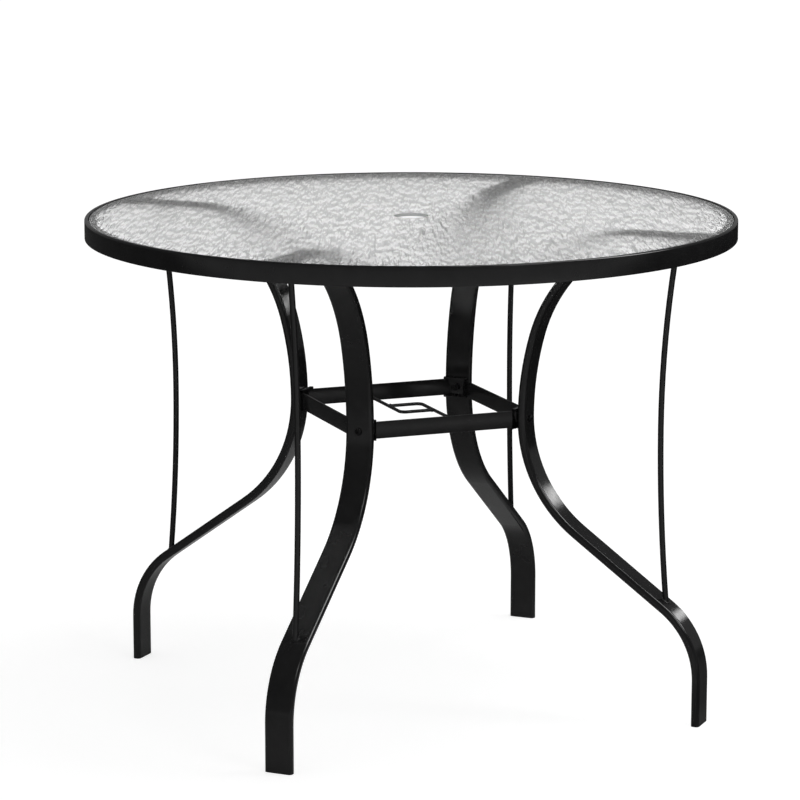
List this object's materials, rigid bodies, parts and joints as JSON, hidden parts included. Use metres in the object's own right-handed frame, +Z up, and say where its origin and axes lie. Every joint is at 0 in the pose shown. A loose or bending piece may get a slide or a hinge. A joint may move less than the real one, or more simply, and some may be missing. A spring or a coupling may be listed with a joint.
{
  "type": "umbrella table",
  "caption": "Round patio table with a rippled glass top, an umbrella hole and bent black tube legs, braced at the waist by a square frame with a pole guide.",
  "frame": {"origin": "where the table's centre line meets the floor", "axes": "+Z up along the centre line; the legs stand on the diagonals and the bars of the waist brace lie along X and Y"},
  "size_m": [0.9499, 0.95, 0.7165],
  "materials": {
    "powder_coated_steel": "black powder coat, satin, fine orange peel",
    "rippled_glass": "tempered clear glass, rippled underside, smooth top",
    "pad_rubber": "matt black rubber",
    "foot_plastic": "moulded black polyethylene",
    "black_hardware": "black zinc-plated steel",
    "zinc_hardware": "bright zinc-plated steel"
  },
  "bodies": {
    "root": {"top_rim": "powder_coated_steel", "leg_front": "powder_coated_steel", "leg_right": "powder_coated_steel", "leg_back": "powder_coated_steel", "leg_left": "powder_coated_steel", "support_rod_front": "powder_coated_steel", "support_rod_right": "powder_coated_steel", "support_rod_back": "powder_coated_steel", "support_rod_left": "powder_coated_steel", "rim_saddle_front": "powder_coated_steel", "rim_saddle_right": "powder_coated_steel", "rim_saddle_back": "powder_coated_steel", "rim_saddle_left": "powder_coated_steel", "brace_bracket_front": "powder_coated_steel", "brace_bracket_right": "powder_coated_steel", "brace_bracket_back": "powder_coated_steel", "brace_bracket_left": "powder_coated_steel", "brace_bar_near": "powder_coated_steel", "brace_bar_right": "powder_coated_steel", "brace_bar_far": "powder_coated_steel", "brace_bar_left": "powder_coated_steel", "guide_rod_left": "powder_coated_steel", "guide_rod_right": "powder_coated_steel", "glass_top": "rippled_glass", "glass_pads": "pad_rubber", "foot_plug_front": "foot_plastic", "foot_plug_right": "foot_plastic", "foot_plug_back": "foot_plastic", "foot_plug_left": "foot_plastic", "brace_bolts": "black_hardware", "brace_washers": "black_hardware", "brace_nuts": "black_hardware", "arm_bolts": "black_hardware", "arm_washers": "black_hardware", "arm_rivet_nuts": "zinc_hardware"}
  },
  "joints": []
}
